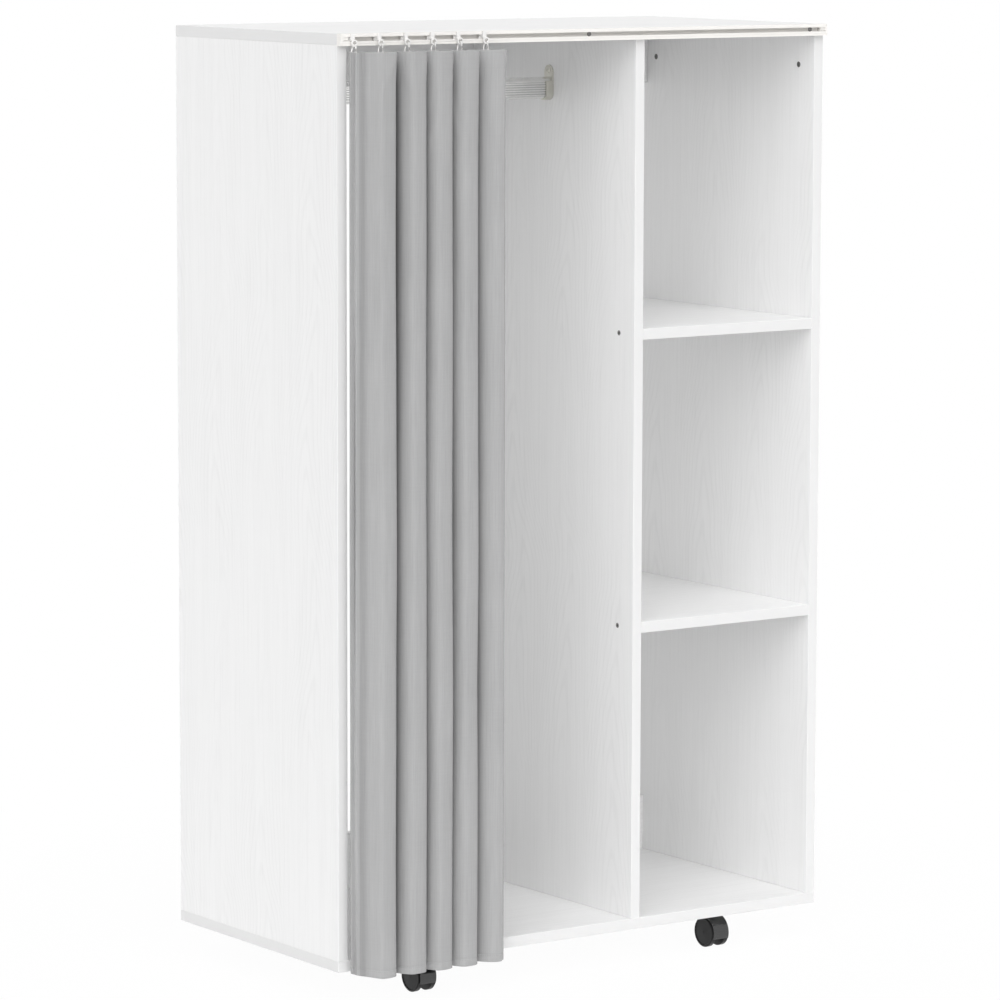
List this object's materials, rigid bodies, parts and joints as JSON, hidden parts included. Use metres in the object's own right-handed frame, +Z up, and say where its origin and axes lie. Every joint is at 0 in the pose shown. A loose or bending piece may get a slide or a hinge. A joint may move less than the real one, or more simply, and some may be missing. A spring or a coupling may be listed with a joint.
{
  "type": "open wardrobe with curtain on casters",
  "caption": "Open wardrobe on swivel casters: a hanging space with a rod behind a sliding curtain, and open cubbies beside it.",
  "frame": {"origin": "on the floor, under the middle of the box round the whole object", "axes": "+X to the right seen from the front, +Y from the front to the back, +Z up"},
  "size_m": [0.8, 0.434, 1.285],
  "materials": {
    "white_board": "white wood-grain melamine, satin",
    "cam_metal": "dark zinc, satin",
    "bright_steel": "zinc plated",
    "dark_screw": "black oxide",
    "dowel_wood": "raw beech",
    "rod_metal": "satin with fine ribs",
    "bracket_metal": "cream, with a bright rim",
    "track_plastic": "warm white, satin",
    "glider_plastic": "white, satin",
    "curtain_cloth": "grey plain weave, matte",
    "caster_plate": "black zinc, satin",
    "caster_plastic": "black, glossy",
    "wheel_plastic": "black, glossy",
    "axle_steel": "plain"
  },
  "bodies": {
    "cabinet": {"top_panel": "white_board", "bottom_panel": "white_board", "left_side_panel": "white_board", "right_side_panel": "white_board", "divider_panel": "white_board", "upper_shelf": "white_board", "lower_shelf": "white_board", "upper_left_stretcher": "white_board", "lower_left_stretcher": "white_board", "upper_right_stretcher": "white_board", "lower_right_stretcher": "white_board", "cam_locks": "cam_metal", "cam_bolts": "bright_steel", "dowels": "dowel_wood", "base_screws": "dark_screw", "shelf_screws": "dark_screw", "hanging_rod": "rod_metal", "rod_bracket_left": "bracket_metal", "rod_bracket_right": "bracket_metal", "bracket_screws": "bright_steel", "curtain_track": "track_plastic", "track_cap_left": "track_plastic", "track_cap_right": "track_plastic", "track_screws": "dark_screw", "caster_screws": "bright_steel", "front_left_mount": "caster_plate", "front_right_mount": "caster_plate", "back_left_mount": "caster_plate", "back_right_mount": "caster_plate"},
    "curtain_end": {"glider_1": "glider_plastic", "hook_1": "glider_plastic", "curtain": "curtain_cloth"},
    "runner_2": {"glider_2": "glider_plastic", "hook_2": "glider_plastic"},
    "runner_3": {"glider_3": "glider_plastic", "hook_3": "glider_plastic"},
    "runner_4": {"glider_4": "glider_plastic", "hook_4": "glider_plastic"},
    "runner_5": {"glider_5": "glider_plastic", "hook_5": "glider_plastic"},
    "curtain_lead": {"glider_6": "glider_plastic", "hook_6": "glider_plastic"},
    "front_left_swivel": {"front_left_hood": "caster_plastic", "front_left_axle": "axle_steel"},
    "front_left_left_wheel": {"front_left_wheel_l": "wheel_plastic"},
    "front_left_right_wheel": {"front_left_wheel_r": "wheel_plastic"},
    "front_right_swivel": {"front_right_hood": "caster_plastic", "front_right_axle": "axle_steel"},
    "front_right_left_wheel": {"front_right_wheel_l": "wheel_plastic"},
    "front_right_right_wheel": {"front_right_wheel_r": "wheel_plastic"},
    "back_left_swivel": {"back_left_hood": "caster_plastic", "back_left_axle": "axle_steel"},
    "back_left_left_wheel": {"back_left_wheel_l": "wheel_plastic"},
    "back_left_right_wheel": {"back_left_wheel_r": "wheel_plastic"},
    "back_right_swivel": {"back_right_hood": "caster_plastic", "back_right_axle": "axle_steel"},
    "back_right_left_wheel": {"back_right_wheel_l": "wheel_plastic"},
    "back_right_right_wheel": {"back_right_wheel_r": "wheel_plastic"}
  },
  "joints": [
    {"name": "curtain_travel", "type": "slide", "parent": "cabinet", "child": "curtain_end", "axis": [1, 0, 0], "range_m": [0, 0.32]},
    {"name": "curtain_draw", "type": "slide", "parent": "curtain_end", "child": "curtain_lead", "axis": [1, 0, 0], "range_m": [0, 0.225], "deforming": ["curtain"]},
    {"name": "runner_2_slide", "type": "slide", "parent": "curtain_end", "child": "runner_2", "axis": [1, 0, 0], "range_m": [0, 0.0239]},
    {"name": "runner_3_slide", "type": "slide", "parent": "curtain_end", "child": "runner_3", "axis": [1, 0, 0], "range_m": [0, 0.0797]},
    {"name": "runner_4_slide", "type": "slide", "parent": "curtain_end", "child": "runner_4", "axis": [1, 0, 0], "range_m": [0, 0.1463]},
    {"name": "runner_5_slide", "type": "slide", "parent": "curtain_end", "child": "runner_5", "axis": [1, 0, 0], "range_m": [0, 0.2021]},
    {"name": "front_left_swivel_turn", "type": "hinge", "parent": "cabinet", "child": "front_left_swivel", "pos_m": [-0.247, -0.133, 0.048], "axis": [0, 0, 1], "continuous": true},
    {"name": "front_left_left_wheel_spin", "type": "hinge", "parent": "front_left_swivel", "child": "front_left_left_wheel", "pos_m": [-0.247, -0.146, 0.021], "axis": [1, 0, 0], "continuous": true},
    {"name": "front_left_right_wheel_spin", "type": "hinge", "parent": "front_left_swivel", "child": "front_left_right_wheel", "pos_m": [-0.247, -0.146, 0.021], "axis": [1, 0, 0], "continuous": true},
    {"name": "front_right_swivel_turn", "type": "hinge", "parent": "cabinet", "child": "front_right_swivel", "pos_m": [0.247, -0.133, 0.048], "axis": [0, 0, 1], "continuous": true},
    {"name": "front_right_left_wheel_spin", "type": "hinge", "parent": "front_right_swivel", "child": "front_right_left_wheel", "pos_m": [0.247, -0.146, 0.021], "axis": [1, 0, 0], "continuous": true},
    {"name": "front_right_right_wheel_spin", "type": "hinge", "parent": "front_right_swivel", "child": "front_right_right_wheel", "pos_m": [0.247, -0.146, 0.021], "axis": [1, 0, 0], "continuous": true},
    {"name": "back_left_swivel_turn", "type": "hinge", "parent": "cabinet", "child": "back_left_swivel", "pos_m": [-0.247, 0.167, 0.048], "axis": [0, 0, 1], "continuous": true},
    {"name": "back_left_left_wheel_spin", "type": "hinge", "parent": "back_left_swivel", "child": "back_left_left_wheel", "pos_m": [-0.247, 0.18, 0.021], "axis": [1, 0, 0], "continuous": true},
    {"name": "back_left_right_wheel_spin", "type": "hinge", "parent": "back_left_swivel", "child": "back_left_right_wheel", "pos_m": [-0.247, 0.18, 0.021], "axis": [1, 0, 0], "continuous": true},
    {"name": "back_right_swivel_turn", "type": "hinge", "parent": "cabinet", "child": "back_right_swivel", "pos_m": [0.247, 0.167, 0.048], "axis": [0, 0, 1], "continuous": true},
    {"name": "back_right_left_wheel_spin", "type": "hinge", "parent": "back_right_swivel", "child": "back_right_left_wheel", "pos_m": [0.247, 0.18, 0.021], "axis": [1, 0, 0], "continuous": true},
    {"name": "back_right_right_wheel_spin", "type": "hinge", "parent": "back_right_swivel", "child": "back_right_right_wheel", "pos_m": [0.247, 0.18, 0.021], "axis": [1, 0, 0], "continuous": true}
  ],
  "couplings": [
    {"joint": "runner_2_slide", "follows": "curtain_draw", "ratio": 0.104},
    {"joint": "runner_3_slide", "follows": "curtain_draw", "ratio": 0.352},
    {"joint": "runner_4_slide", "follows": "curtain_draw", "ratio": 0.648},
    {"joint": "runner_5_slide", "follows": "curtain_draw", "ratio": 0.896}
  ]
}
